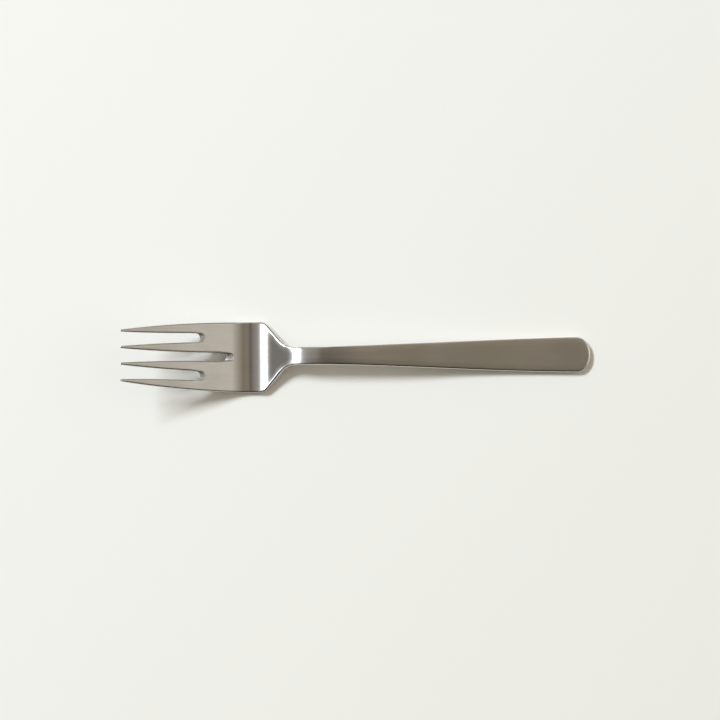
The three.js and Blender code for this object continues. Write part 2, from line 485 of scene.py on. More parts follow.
    def shoulder_half(self, station: float) -> float:
        """Half width from the crest through the shoulders to the bowl.

        Args:
            station: Distance along the blank from the handle end.

        Returns:
            Half the width.
        """
        neck = self.neck_width / 2
        if station < self.flare_start:
            return neck
        if station < self.flare_end:
            beyond = station - self.flare_start
            return neck + self.neck_fillet - math.sqrt(self.neck_fillet**2 - beyond**2)
        if station < self.corner_start:
            return neck + math.tan(math.radians(self.shoulder_angle)) * (station - self.shoulder_foot)
        back = max(self.corner_end - station, 0.0)
        return self.bowl_width / 2 - self.shoulder_corner + math.sqrt(self.shoulder_corner**2 - back**2)

    def head_half(self, station: float) -> float:
        """Half width from the bowl to the tips, one long even curve.

        Args:
            station: Distance along the blank from the handle end.

        Returns:
            Half the width.
        """
        tip_half = self.outer_tip + self.tip_width / 2
        bottom = self.profile.bowl_bottom
        along = max(station - bottom, 0.0) / (self.profile.tip - bottom)
        return self.bowl_width / 2 - (self.bowl_width / 2 - tip_half) * along**2

    def tine_sides(self, tine: Tine, station: float) -> Point:
        """Inner and outer side of a tine at a station.

        Args:
            tine: Which tine.
            station: Distance from the handle end.

        Returns:
            The side nearer the centre line and the side farther from it.
        """
        along = max(station - self.tine_root, 0.0) / (self.profile.tip - self.tine_root)
        # The bow is a parabola, at its full size half way along the tine
        bow = self.tine_bow * 4 * along * (1 - along)
        slot = self.outer_slot
        if tine is Tine.INNER:
            low = lerp(self.centre_slot.radius, (self.tip_pitch - self.tip_width) / 2, along)
            high = lerp(slot.side - slot.radius, (self.tip_pitch + self.tip_width) / 2, along)
            return low - bow, high + bow
        low = lerp(slot.side + slot.radius, self.outer_tip - self.tip_width / 2, along)
        return low - bow, self.head_half(station)

    def roll(self, station: float, room: float, cut: float = 0.0) -> Point:
        """Width and height of the rolled edge.

        Args:
            station: Distance from the handle end.
            room: Half the width of the metal there.
            cut: How far the edge belongs to the punched root of a slot, where it is sharper.

        Returns:
            How far the roll reaches in from the edge, and how far down.
        """
        to_head = smooth(station, self.flare_end, self.corner_end)
        width = lerp(lerp(self.handle_roll_width, self.head_roll_width, to_head), self.cut_roll, cut)
        height = lerp(lerp(self.handle_roll_height, self.head_roll_height, to_head), self.cut_roll, cut)
        return min(width, room * self.roll_share), min(height, self.thickness(station) / 2 * self.roll_share)

    def crown(self, station: float, distance: float) -> float:
        """How far the face has dropped at a distance from the edge, from the handle to the shoulders.

        Args:
            station: Distance along the blank from the handle end.
            distance: Distance from the edge.

        Returns:
            The drop.
        """
        to_neck = smooth(station, self.profile.end_flat + self.profile.sweep_length, self.profile.crest)
        onto_ramp = smooth(station, self.profile.crest, self.flare_end)
        onto_bowl = smooth(station, self.flare_end, self.corner_start)
        height = lerp(lerp(self.handle_crown, self.neck_crown, to_neck), self.shoulder_crown, onto_ramp)
        return height * (1 - onto_bowl) * max(1 - distance / self.crown_width, 0.0) ** 2

    def cut_share(self, station: float, side: float) -> float:
        """How far a place on the edge of the metal belongs to the punched root of a slot.

        Args:
            station: Distance along the blank from the handle end.
            side: Distance from the centre line, positive on the left.

        Returns:
            A share from 0 to 1.
        """
        share = 0.0
        for slot in self.slots:
            centre = self.root_centre(slot)
            if self.root_offset(slot, station, side) < self.head_roll_width:
                share = max(share, 1 - smooth(station, centre, centre + self.cut_fade))
        return share

    def lean(self, station: float, side: float) -> float:
        """How far the metal leans back through its thickness, near the root of a slot.

        Args:
            station: Distance along the blank from the handle end.
            side: Distance from the centre line, positive on the left.

        Returns:
            How far a point moves back along the blank for each millimetre of lift.
        """
        total = 0.0
        for slot in self.slots:
            centre = self.root_centre(slot)
            near = 1 - smooth(self.root_offset(slot, station, side), self.head_roll_width, self.lean_reach)
            behind = 1 - smooth(station, centre, centre + slot.fade)
            total += slot.lean / self.tine_thickness * near * behind
        return total


class FlatSheet:
    """Quads on the flat blank that share corners. Places that agree to a few decimals are one corner."""

    decimals = 4

    def __init__(self) -> None:
        """Starts with no corners and no quads."""
        self.points: list[Point] = []
        self.quads: list[tuple[int, ...]] = []
        self._numbers: dict[Point, int] = {}

    def corner(self, station: float, side: float) -> int:
        """Number of the corner at a place, made if it is new.

        Args:
            station: Distance along the blank from the handle end.
            side: Distance from the centre line, positive on the left.

        Returns:
            The number.
        """
        key = (round(station, self.decimals), round(side, self.decimals))
        if key not in self._numbers:
            self._numbers[key] = len(self.points)
            self.points.append((station, side))
        return self._numbers[key]

    def add_grid(self, rows: list[list[Point]]) -> None:
        """Adds the quads between rows of points.

        Args:
            rows: Rows of equal length.
        """
        numbers = [[self.corner(*point) for point in row] for row in rows]
        for near, far in zip(numbers, numbers[1:]):
            for index in range(len(near) - 1):
                self.quads.append((near[index], far[index], far[index + 1], near[index + 1]))

    def add_rows(self, stations: list[float], columns: Callable[[float], list[float]]) -> None:
        """Adds straight rows of quads across the fork.

        Args:
            stations: Stations of the rows.
            columns: Function that gives the sides of the columns at a station.
        """
        self.add_grid([[(station, side) for side in columns(station)] for station in stations])

    def mirrored(self) -> "FlatSheet":
        """The sheet together with its mirror image across the centre line, all quads facing up.

        Returns:
            The whole sheet.
        """
        whole = FlatSheet()
        for hand in (1, -1):
            numbers = [whole.corner(station, hand * side) for station, side in self.points]
            for quad in self.quads:
                corners = [numbers[index] for index in quad]
                if whole.area(corners) < 0:
                    corners.reverse()
                whole.quads.append(tuple(corners))
        return whole

    def area(self, corners: list[int]) -> float:
        """Area of a quad, negative if it faces down.

        Args:
            corners: Numbers of its corners in order.

        Returns:
            The area.
        """
        total = 0.0
        for first, second in zip(corners, corners[1:] + corners[:1]):
            (u_first, y_first), (u_second, y_second) = self.points[first], self.points[second]
            total += u_first * y_second - u_second * y_first
        return total / 2

    def rim(self) -> list[Edge]:
        """Edges with a quad on one side only, as pairs of corners in the order of that quad.

        Returns:
            The edges.
        """
        edges = [edge for quad in self.quads for edge in zip(quad, quad[1:] + quad[:1])]
        counts = Counter(frozenset(edge) for edge in edges)
        return [edge for edge in edges if counts[frozenset(edge)] == 1]


@dataclass(frozen=True)
class RoundEnd:
    """An elliptical end of the blank, and the directions of its rays, in degrees from its heading."""

    heading: Heading
    start: float
    reach: float
    middle: float
    half: float
    angles: tuple[float, ...]

    def at(self, distance: float, angle: float) -> Point:
        """Place at a distance in from the edge, in a direction in radians."""
        along = (self.reach - distance) * math.cos(angle)
        return self.start + self.heading * along, self.middle + (self.half - distance) * math.sin(angle)


@dataclass(frozen=True)
class BlankSkin:
    """Lays out the quads of the blank, in columns that turn round the slots, the tips and the handle end."""

    blank: Blank
    roll_shares: tuple[float, ...] = (0.0, 0.076, 0.293, 0.617, 1.0)
    head_ring: float = 0.9
    handle_ring: float = 2.2
    handle_step: float = 3.0
    bend_step: float = 0.8
    plate_step: float = 1.0
    tine_step: float = 1.6
    tine_columns: int = 3
    back_angles: tuple[float, ...] = (90.0, 75.0, 60.0, 45.0)
    side_angles: tuple[float, ...] = (45.0, 33.75, 22.5, 11.25, 0.0)
    tip_angles: tuple[float, ...] = (90.0, 75.0, 60.0, 45.0)
    end_angles: tuple[float, ...] = (90.0, 82.5, 75.0, 67.5, 60.0, 52.5, 45.0)
    slope_reach: float = 0.01
    wall_map_slope: float = 0.5
    cut_rim: Point = (0.2, 0.8)
    lower_cut: float = 0.7

    def ring_width(self, station: float) -> float:
        """Width of the ring of columns that follows the outer edge."""
        to_head = smooth(station, self.blank.flare_start, self.blank.profile.bowl_start)
        return lerp(self.handle_ring, self.head_ring, to_head)

    def ring(self, width: float, roll_width: float) -> list[float]:
        """Distances of the ring's columns from the edge, from the edge inwards."""
        return [*(share * roll_width for share in self.roll_shares), (roll_width + width) / 2, width]

    def slope_stretch(self, station: float) -> float:
        """How much longer a step across the fork is than its distance from the sloping shoulder line.

        Args:
            station: Distance along the blank from the handle end.

        Returns:
            A factor, 1 where the outline runs straight along the fork.
        """
        blank = self.blank
        if not blank.flare_start < station < blank.corner_end:
            return 1.0
        reach = self.slope_reach
        before = blank.shoulder_half(max(station - reach, blank.flare_start))
        after = blank.shoulder_half(min(station + reach, blank.corner_end))
        return math.hypot(1.0, (after - before) / (2 * reach))

    def edge_ring(self, station: float) -> list[float]:
        """Sides of the outer ring's columns, from the inside out to the edge.

        Args:
            station: Distance along the blank from the handle end.

        Returns:
            The sides.
        """
        half = self.blank.half(station)
        roll_width, _ = self.blank.roll(station, half)
        stretch = self.slope_stretch(station)
        distances = self.ring(self.ring_width(station), roll_width)
        return [half - distance * stretch for distance in reversed(distances)]

    def square(self, slot: Slot) -> float:
        """Half width of the square of quads round the root of a slot."""
        return slot.radius + self.head_ring

    def strip(self, slot: Slot) -> list[float]:
        """Sides of the columns behind a slot, from its centre line outwards."""
        reach = self.square(slot)
        return [reach / math.tan(math.radians(angle)) for angle in self.back_angles]

    def square_rows(self, slot: Slot) -> list[float]:
        """Stations of the rows beside the square round a slot's root, from its back to the root's centre."""
        centre = self.blank.root_centre(slot)
        return [centre - self.square(slot) * math.tan(math.radians(angle)) for angle in self.side_angles]

    def inner_columns(self) -> list[float]:
        """Sides of the columns between the centre slot's square and the outer slot's."""
        outer = self.blank.outer_slot
        return self.between(self.square(self.blank.centre_slot), outer.side - self.square(outer))

    def strip_columns(self) -> list[float]:
        """Sides of the columns behind the outer slot.

        Returns:
            The sides, from the centre line outwards.
        """
        slot = self.blank.outer_slot
        steps = self.strip(slot)
        return [*(slot.side - step for step in reversed(steps)), *(slot.side + step for step in steps[1:])]

    def outer_columns(self, station: float) -> list[float]:
        """Sides of the columns between the outer slot's square and the outer ring."""
        outer = self.blank.outer_slot
        return self.between(outer.side + self.square(outer), self.edge_ring(station)[0])

    def outside_columns(self, station: float) -> list[float]:
        """Sides of the columns from the outer slot's square out to the edge."""
        return joined(self.outer_columns(station), self.edge_ring(station))

    def between(self, low: float, high: float) -> list[float]:
        """Sides of evenly spaced columns across a tine."""
        return [lerp(low, high, index / self.tine_columns) for index in range(self.tine_columns + 1)]

    def body_columns(self, station: float) -> list[float]:
        """Sides of all columns from the centre line to the outer ring, behind the slots.

        Args:
            station: Distance along the blank from the handle end.

        Returns:
            The sides, from the centre line outwards.
        """
        corner = max(station, self.blank.corner_end)
        columns = joined(
            self.strip(self.blank.centre_slot),
            self.inner_columns(),
            self.strip_columns(),
            self.outer_columns(corner),
        )
        scale = self.edge_ring(station)[0] / columns[-1]
        return [side * scale for side in columns]

    @property
    def root_ring(self) -> list[float]:
        """Distances of the ring's columns from the edge of a slot, round its root and beside it."""
        return self.ring(self.head_ring, self.blank.head_roll_width)

    def half_sheet(self) -> FlatSheet:
        """The quads on one side of the centre line.

        Returns:
            The sheet, to be mirrored.
        """
        sheet = FlatSheet()
        self.lay_handle_end(sheet)
        self.lay_plate(sheet)
        forward = [*self.back_angles, *self.side_angles[1:]]
        self.lay_root(sheet, self.blank.centre_slot, forward)
        around = [*(HALF_TURN - angle for angle in reversed(forward)), *forward[1:]]
        self.lay_root(sheet, self.blank.outer_slot, around)
        for tine in Tine:
            self.lay_tine(sheet, tine)
        return sheet

    def lay_plate(self, sheet: FlatSheet) -> None:
        """Adds the handle beyond its rounded end, the neck, the shoulders, and the bowl round its slots.

        Args:
            sheet: Sheet to add to.
        """
        blank = self.blank
        crest = blank.profile.crest
        centre_rows = self.square_rows(blank.centre_slot)
        outer_rows = self.square_rows(blank.outer_slot)
        body_rows = joined(
            spaced(blank.end_round, crest, self.handle_step),
            spaced(crest, blank.flare_start, self.bend_step),
            spaced(blank.flare_start, blank.corner_end, self.bend_step),
            spaced(blank.corner_end, centre_rows[0], self.bend_step),
        )
        plate_rows = spaced(centre_rows[-1], outer_rows[0], self.plate_step)
        inner = self.inner_columns()
        strip = self.strip_columns()
        slot_side = joined([blank.centre_slot.radius + distance for distance in self.root_ring], inner)
        sheet.add_rows(body_rows, lambda at: joined(self.body_columns(at), self.edge_ring(at)))
        sheet.add_rows(centre_rows, lambda at: joined(inner, strip, self.outside_columns(at)))
        sheet.add_rows(plate_rows, lambda at: joined(slot_side, strip, self.outside_columns(at)))
        sheet.add_rows(outer_rows, lambda at: slot_side)
        sheet.add_rows(outer_rows, self.outside_columns)

    def lay_root(self, sheet: FlatSheet, slot: Slot, angles: list[float]) -> None:
        """Adds the quads round the root of a slot.

        Args:
            sheet: Sheet to add to.
            slot: The slot.
            angles: Directions of the rays from the root's centre, in degrees from straight across.
        """
        centre = self.blank.root_centre(slot)
        rays = []
        for angle in angles:
            across = math.cos(math.radians(angle))
            back = math.sin(math.radians(angle))
            # The last two places on each ray reach out to the square instead of round the root
            reaches = [slot.radius + distance for distance in self.root_ring[:-2]]
            outer = self.square(slot) / max(abs(across), abs(back))
            reaches.extend([(reaches[-1] + outer) / 2, outer])
            rays.append([(centre - reach * back, slot.side + reach * across) for reach in reaches])
        sheet.add_grid(rays)

    def lay_round(self, sheet: FlatSheet, end: RoundEnd, ring: list[float], shares: list[float]) -> None:
        """Adds a rounded end: a core of rows inside a ring that turns round the end.

        Args:
            sheet: Sheet to add to.
            end: The rounded end.
            ring: Distances of the ring's columns from the edge, from the edge inwards.
            shares: Sides of the core's columns as shares of its half width, from -1, or from 0 for one half.
        """
        rays = [math.radians(degrees) for degrees in end.angles]
        front = [math.asin(share * math.sin(rays[-1])) for share in shares]
        rows = []
        for angle in rays[:-1]:
            station, side = end.at(ring[-1], angle)
            rows.append([(station, lerp(end.middle, side, share)) for share in shares])
        rows.append([end.at(ring[-1], angle) for angle in front])
        sheet.add_grid(rows)
        far_rays = [-angle for angle in rays[:-1]] if shares[0] < 0 else []
        turns = [*far_rays, *front[:-1], *reversed(rays)]
        sheet.add_grid([[end.at(distance, angle) for distance in ring] for angle in turns])

    def lay_handle_end(self, sheet: FlatSheet) -> None:
        """Adds the rounded end of the handle.

        Args:
            sheet: Sheet to add to.
        """
        start = self.blank.end_round
        half = self.blank.half(start)
        roll_width, _ = self.blank.roll(start, half)
        columns = self.body_columns(start)
        end = RoundEnd(Heading.TO_HANDLE_END, start, start, 0.0, half, self.end_angles)
        ring = self.ring(self.ring_width(start), roll_width)
        self.lay_round(sheet, end, ring, [side / columns[-1] for side in columns])

    def tine_ring(self, tine: Tine, station: float) -> list[float]:
        """Distances of a tine's ring columns from its sides. The ring narrows as the tine does.

        Args:
            tine: Which tine.
            station: Distance along the blank from the handle end.

        Returns:
            The distances, from the side inwards.
        """
        blank = self.blank
        root = blank.root_centre(blank.outer_slot)
        low, high = blank.tine_sides(tine, station)
        root_low, root_high = blank.tine_sides(tine, root)
        half = (high - low) / 2
        roll_width, _ = blank.roll(station, half)
        spare = (half - roll_width) / ((root_high - root_low) / 2 - blank.head_roll_width)
        return self.ring(roll_width + (self.head_ring - blank.head_roll_width) * spare, roll_width)

    def across_tine(self, tine: Tine, station: float) -> list[float]:
        """Sides of all columns across a tine.

        Args:
            tine: Which tine.
            station: Distance along the blank from the handle end.

        Returns:
            The sides, from the centre line outwards.
        """
        low, high = self.blank.tine_sides(tine, station)
        ring = self.tine_ring(tine, station)
        inward = [low + distance for distance in ring]
        outward = [high - distance for distance in reversed(ring)]
        return joined(inward, self.between(inward[-1], outward[0]), outward)

    def lay_tine(self, sheet: FlatSheet, tine: Tine) -> None:
        """Adds a tine from the root of the outer slots to its rounded tip.

        Args:
            sheet: Sheet to add to.
            tine: Which tine.
        """
        blank = self.blank
        root = blank.root_centre(blank.outer_slot)
        start = blank.profile.tip - blank.tip_round
        rows = joined([root, blank.tine_root], spaced(blank.tine_root, start, self.tine_step))
        sheet.add_rows(rows, lambda at: self.across_tine(tine, at))
        low, high = blank.tine_sides(tine, start)
        middle = (low + high) / 2
        half = (high - low) / 2
        tip = RoundEnd(Heading.TO_TIPS, start, blank.tip_round, middle, half, self.tip_angles)
        self.lay_round(sheet, tip, self.tine_ring(tine, start), self.between(-1.0, 1.0))

    def room(self, station: float, side: float) -> float:
        """Half the width of the metal at a place: of the tine beyond the roots, of the whole blank before.

        Args:
            station: Distance along the blank from the handle end.
            side: Distance from the centre line, positive on the left.

        Returns:
            Half the width.
        """
        blank = self.blank
        if station <= blank.tine_root:
            return blank.half(max(station, blank.end_round))
        last = blank.profile.tip - blank.tip_round
        low, high = blank.tine_sides(blank.tine_at(side), min(station, last))
        return (high - low) / 2

    def section(self, station: float, side: float) -> Section:
        """The forged section that a place on the blank belongs to.

        Args:
            station: Distance along the blank from the handle end.
            side: Distance from the centre line, positive on the left.

        Returns:
            The section.
        """
        blank = self.blank
        if station < blank.profile.crest:
            return Section.HANDLE
        if station < blank.flare_start:
            return Section.NECK
        if station < blank.corner_end:
            return Section.SHOULDER
        if station < blank.tine_root:
            return Section.BOWL
        if blank.tine_at(side) is Tine.INNER:
            return Section.LEFT_INNER_TINE if side > 0 else Section.RIGHT_INNER_TINE
        return Section.LEFT_OUTER_TINE if side > 0 else Section.RIGHT_OUTER_TINE

    def make_mesh(self) -> bpy.types.Mesh:
        """Gives the sheet its thickness, with rolled edges, as one closed mesh on the blank's coordinates.

        Returns:
            The mesh in metres: station, side and lift, with the map and the section, rim and cut attributes.
        """
        sheet = self.half_sheet().mirrored()
        points = np.array(sheet.points)
        edges = sheet.rim()
        distance = distance_to(points, points[np.array(edges)])
        upper, lower, rims = self.lifts(points, distance)
        count = len(points)
        rim_points = sorted({corner for edge in edges for corner in edge})
        middle = {corner: 2 * count + index for index, corner in enumerate(rim_points)}
        flat = [*sheet.points, *sheet.points, *(sheet.points[corner] for corner in rim_points)]
        lift = [*upper, *lower, *(0.0 for _ in rim_points)]
        shares = [*rims, *rims, *(1.0 for _ in rim_points)]
        cuts = self.cut_shares(flat, shares, count)
        faces = [*sheet.quads, *(tuple(count + corner for corner in reversed(quad)) for quad in sheet.quads)]
        for first, second in edges:
            faces.append((second, first, middle[first], middle[second]))
            faces.append((middle[second], middle[first], count + first, count + second))
        leaned = [
            (station - self.blank.lean(station, side) * up, side, up)
            for (station, side), up in zip(flat, lift)
        ]
        mesh = bpy.data.meshes.new("flat_skin")
        mesh.from_pydata([tuple(value * MM for value in place) for place in leaned], [], faces)
        for name, values in ((RIM_ATTRIBUTE, shares), (CUT_ATTRIBUTE, cuts)):
            mesh.attributes.new(name, "FLOAT", "POINT").data.foreach_set("value", values)
        self.write_faces(mesh, leaned, 2 * len(sheet.quads))
        log.info("flat skin: %d corners, %d quads", len(flat), len(faces))
        return mesh

    def cut_shares(self, flat: list[Point], rims: list[float], count: int) -> list[float]:
        """How far each vertex belongs to the punched root of a slot, less so on the lower face. The share
        also sets the painted shade there.

        Args:
            flat: Station and side of each vertex: of the upper face, the lower face and the walls' middle.
            rims: Rim share of each vertex.
            count: How many vertices each face has.

        Returns:
            One share for each vertex.
        """
        shares = []
        for index, ((station, side), rim) in enumerate(zip(flat, rims)):
            strength = self.lower_cut if count <= index < 2 * count else 1.0
            inside = smooth(rim, *self.cut_rim)
            shares.append(strength * inside * self.blank.cut_share(station, side))
        return shares

    def lifts(self, points: np.ndarray, distance: np.ndarray) -> tuple[list[float], list[float], list[float]]:
        """Heights of the upper and lower face, and how far each point lies into the rolled edge.

        Args:
            points: Station and side of each point.
            distance: Distance of each point from the outline.

        Returns:
            The lifts of the upper and of the lower face, and a share that is 1 at the edge and 0 on the flat.
        """
        upper, lower, rims = [], [], []
        for (station, side), off in zip(points, distance):
            room = self.room(station, side)
            cut = self.blank.cut_share(station, side)
            roll_width, roll_height = self.blank.roll(station, room, cut)
            into = 1 - min(off / roll_width, 1.0)
            rolled = self.blank.thickness(station) / 2 - roll_height * (1 - math.sqrt(max(1 - into**2, 0.0)))
            upper.append(rolled - self.blank.crown(station, off))
            lower.append(-rolled)
            rims.append(into)
        return upper, lower, rims

    def write_faces(self, mesh: bpy.types.Mesh, places: list[Spot], flat_faces: int) -> None:
        """Writes the map and the sections into the flat skin.

        Args:
            mesh: The flat skin.
            places: Station, side and lift of each vertex.
            flat_faces: How many faces come before those of the walls.
        """
        section = mesh.attributes.new(SECTION_ATTRIBUTE, "INT", "FACE")
        layer = mesh.uv_layers.new(name=BLANK_MAP)
        for face in mesh.polygons:
            corners = list(face.vertices)
            station = sum(places[corner][0] for corner in corners) / len(corners)
            side = sum(places[corner][1] for corner in corners) / len(corners)
            section.data[face.index].value = int(self.section(station, side))
            for loop, corner in zip(face.loop_indices, corners):
                along, across, lift = places[corner]
                if face.index >= flat_faces:
                    along += self.wall_map_slope * abs(across)
                    across = lift
                layer.data[loop].uv = (across * MAP_SHARE, along * MAP_SHARE)


def distance_to(points: np.ndarray, segments: np.ndarray) -> np.ndarray:
    """Distance of each point from the nearest of some segments.

    Args:
        points: Points, one row each.
        segments: Pairs of end points.

    Returns:
        One distance for each point.
    """
    start = segments[:, 0]
    span = segments[:, 1] - start
    length = (span**2).sum(1)
    nearest = np.full(len(points), np.inf)
    for index, point in enumerate(points):
        share = np.clip(((point - start) * span).sum(1) / length, 0, 1)
        off = point - (start + span * share[:, None])
        nearest[index] = math.sqrt((off**2).sum(1).min())
    return nearest


class NodeNet:
    """A node tree under construction. Most of its methods add a node and return the result's socket."""

    def __init__(self, tree: bpy.types.NodeTree) -> None:
        """Takes over a tree and clears it."""
        self.tree = tree
        tree.nodes.clear()

    def add(self, kind: str, links: Links | None = None, **settings: object) -> bpy.types.Node:
        """Adds a node, sets its properties and fills its inputs.

        Args:
            kind: Type of the node.
            links: Input name or number, and the socket or plain value that goes into it.
            **settings: Properties of the node.

        Returns:
            The node.
        """
        node = self.tree.nodes.new(kind)
        for name, value in settings.items():
            setattr(node, name, value)
        for name, value in (links or {}).items():
            if isinstance(value, Socket):
                self.tree.links.new(value, node.inputs[name])
            else:
                node.inputs[name].default_value = value
        return node

    def calculate(self, operation: str, *values: Value) -> Socket:
        """Result of a calculation with up to three numbers."""
        return self.add("ShaderNodeMath", dict(enumerate(values)), operation=operation).outputs[0]

    def combine(self, operation: str, first: Value, second: Value) -> Socket:
        """Result of a calculation with two vectors, which is a number for a dot product."""
        node = self.add("ShaderNodeVectorMath", {0: first, 1: second}, operation=operation)
        return node.outputs["Value" if operation == "DOT_PRODUCT" else "Vector"]

    def scale(self, vector: Socket, factor: Value) -> Socket:
        """A vector times a number."""
        node = self.add("ShaderNodeVectorMath", {0: vector, "Scale": factor}, operation="SCALE")
        return node.outputs["Vector"]

    def carry(self, value: Socket, source: Point, target: Point = (0.0, 1.0), eased: bool = True) -> Socket:
        """Carries a number over from one range to another.

        Args:
            value: The number, which is held at the ends of its range.
            source: Range that it comes from.
            target: Range that it goes to.
            eased: Whether it eases at both ends.

        Returns:
            The number in the other range.
        """
        ends = dict(enumerate((*source, *target), start=1))
        easing = "SMOOTHSTEP" if eased else "LINEAR"
        return self.add("ShaderNodeMapRange", {"Value": value, **ends}, interpolation_type=easing).outputs[0]

    def mix(self, share: Value, first: Value, second: Value, blend: str = "MIX") -> Socket:
        """Mixes two colours.

        Args:
            share: Share of the second colour.
            first: A colour, as a socket or in plain numbers.
            second: The other colour.
            blend: How they are mixed.

        Returns:
            The mixed colour.
        """
        links = {0: share}
        for number, colour in ((MIX_FIRST, first), (MIX_SECOND, second)):
            links[number] = colour if isinstance(colour, Socket) else (*colour, 1.0)
        return self.add("ShaderNodeMix", links, data_type="RGBA", blend_type=blend).outputs[MIX_RESULT]

    def noise(self, place: Socket, scale: Value, detail: float, roughness: float) -> Socket:
        """Noise from 0 to 1 at a place."""
        links = {"Vector": place, "Scale": scale, "Detail": detail, "Roughness": roughness}
        return self.add("ShaderNodeTexNoise", links).outputs["Fac"]

    def ramp(self, value: Socket, stops: list[tuple[float, Colour]]) -> Socket:
        """Looks up a colour on a ramp.

        Args:
            value: Position on the ramp.
            stops: Positions and colours in order, the first at 0 and the last at 1.

        Returns:
            The colour.
        """
        node = self.add("ShaderNodeValToRGB", {"Fac": value})
        elements = node.color_ramp.elements
        for position, _ in stops[1:-1]:
            elements.new(position)
        for element, (_, colour) in zip(elements, stops):
            element.color = (*colour, 1.0)
        return node.outputs["Color"]


class NodeGroup(NodeNet):
    """A node group under construction, with named inputs and outputs."""

    def __init__(self, name: str, kind: str) -> None:
        """Starts an empty group.

        Args:
            name: Name of the group.
            kind: Type of its tree.
        """
        super().__init__(bpy.data.node_groups.new(name, kind))
        self.entry = self.tree.nodes.new("NodeGroupInput")
        self.leave = self.tree.nodes.new("NodeGroupOutput")
        self.identifiers: dict[str, str] = {}

    def add_input(self, name: str, kind: str, value: float | None = None) -> Socket:
        """Adds a named input.

        Args:
            name: Name of the input.
            kind: Type of its socket.
            value: Its starting value, where it has one.

        Returns:
            The socket that brings it into the group.
        """
        made = self.tree.interface.new_socket(name, in_out="INPUT", socket_type=kind)
        self.identifiers[name] = made.identifier
        if value is not None:
            made.default_value = value
        return self.entry.outputs[name]

    def add_output(self, name: str, kind: str, socket: Socket) -> None:
        """Sends a socket out of the group under a name."""
        self.tree.interface.new_socket(name, in_out="OUTPUT", socket_type=kind)
        self.tree.links.new(socket, self.leave.inputs[name])

    def reshape(self, geometry: Socket, kind: str, links: Links | None = None, **settings: object) -> Socket:
        """Adds a node that works on a geometry, and returns the geometry that comes out of it."""
        return self.add(kind, {0: geometry, **(links or {})}, **settings).outputs[0]


@dataclass
class Press:
    """Presses the flat skin along the side profile and parts it into the forged sections."""

    skin: bpy.types.Mesh
    profile: bpy.types.Object
    level: int = 1

    def build_tree(self) -> NodeGroup:
        """Builds the tree: subdivide, press, keep the normals, pick one section, give it its steel.

        Returns:
            The finished tree.
        """
        net = NodeGroup("press_blank", "GeometryNodeTree")
        shape = net.add_input("Geometry", "NodeSocketGeometry")
        profile = net.add_input("Profile", "NodeSocketObject")
        level = net.add_input("Level", "NodeSocketInt")
        section = net.add_input("Section", "NodeSocketInt")
        steel = net.add_input("Steel", "NodeSocketMaterial")
        curve = net.add("GeometryNodeObjectInfo", {"Object": profile}).outputs["Geometry"]
        position = net.add("GeometryNodeInputPosition").outputs[0]
        flat = net.add("ShaderNodeSeparateXYZ", {0: position}).outputs
        reach = {"Curves": curve, "Length": flat["X"]}
        sample = net.add("GeometryNodeSampleCurve", reach, mode="LENGTH", use_all_curves=True).outputs
        up = net.combine("CROSS_PRODUCT", sample["Tangent"], (0.0, 1.0, 0.0))
        across = net.add("ShaderNodeCombineXYZ", {"Y": flat["Y"]}).outputs[0]
        beside = net.combine("ADD", sample["Position"], across)
        pressed = net.combine("ADD", beside, net.scale(up, flat["Z"]))
        normal = net.add("GeometryNodeInputNormal").outputs["Normal"]
        own = net.add("GeometryNodeInputNamedAttribute", {"Name": SECTION_ATTRIBUTE}, data_type="INT")
        pair = {COMPARE_FIRST: own.outputs["Attribute"], COMPARE_SECOND: section}
        same = net.add("FunctionNodeCompare", pair, data_type="INT", operation="EQUAL").outputs["Result"]
        shape = net.reshape(shape, "GeometryNodeSubdivisionSurface", {"Level": level})
        shape = net.reshape(shape, "GeometryNodeSetPosition", {"Position": pressed})
        shape = net.reshape(shape, "GeometryNodeSetShadeSmooth")
        shape = net.reshape(
            shape,
            "GeometryNodeStoreNamedAttribute",
            {"Name": NORMAL_ATTRIBUTE, "Value": normal},
            data_type="FLOAT_VECTOR",
            domain="POINT",
        )
        shape = net.reshape(shape, "GeometryNodeSeparateGeometry", {"Selection": same}, domain="FACE")
        shape = net.reshape(shape, "GeometryNodeRealizeInstances")
        shape = net.reshape(shape, "GeometryNodeSetMaterial", {"Material": steel})
        net.add_output("Geometry", "NodeSocketGeometry", shape)
        return net

    def press_section(self, net: NodeGroup, section: Section, steel: bpy.types.Material) -> bpy.types.Object:
        """Runs the tree for one section and closes the cuts that it leaves.

        Args:
            net: The pressing tree.
            section: Section to hand out.
            steel: Its material.

        Returns:
            The section as a plain mesh object at the origin.
        """
        flat = bpy.data.objects.new("flat_skin", self.skin)
        bpy.context.scene.collection.objects.link(flat)
        modifier = flat.modifiers.new("press", "NODES")
        modifier.node_group = net.tree
        values = {"Profile": self.profile, "Level": self.level, "Section": int(section), "Steel": steel}
        for name, value in values.items():
            modifier[net.identifiers[name]] = value
        graph = bpy.context.evaluated_depsgraph_get()
        mesh = bpy.data.meshes.new_from_object(flat.evaluated_get(graph), depsgraph=graph)
        bpy.data.objects.remove(flat)
        close_cuts(mesh)
        made = bpy.data.objects.new(f"forged_{section.node}", mesh)
        mesh.name = made.name
        bpy.context.scene.collection.objects.link(made)
        return made


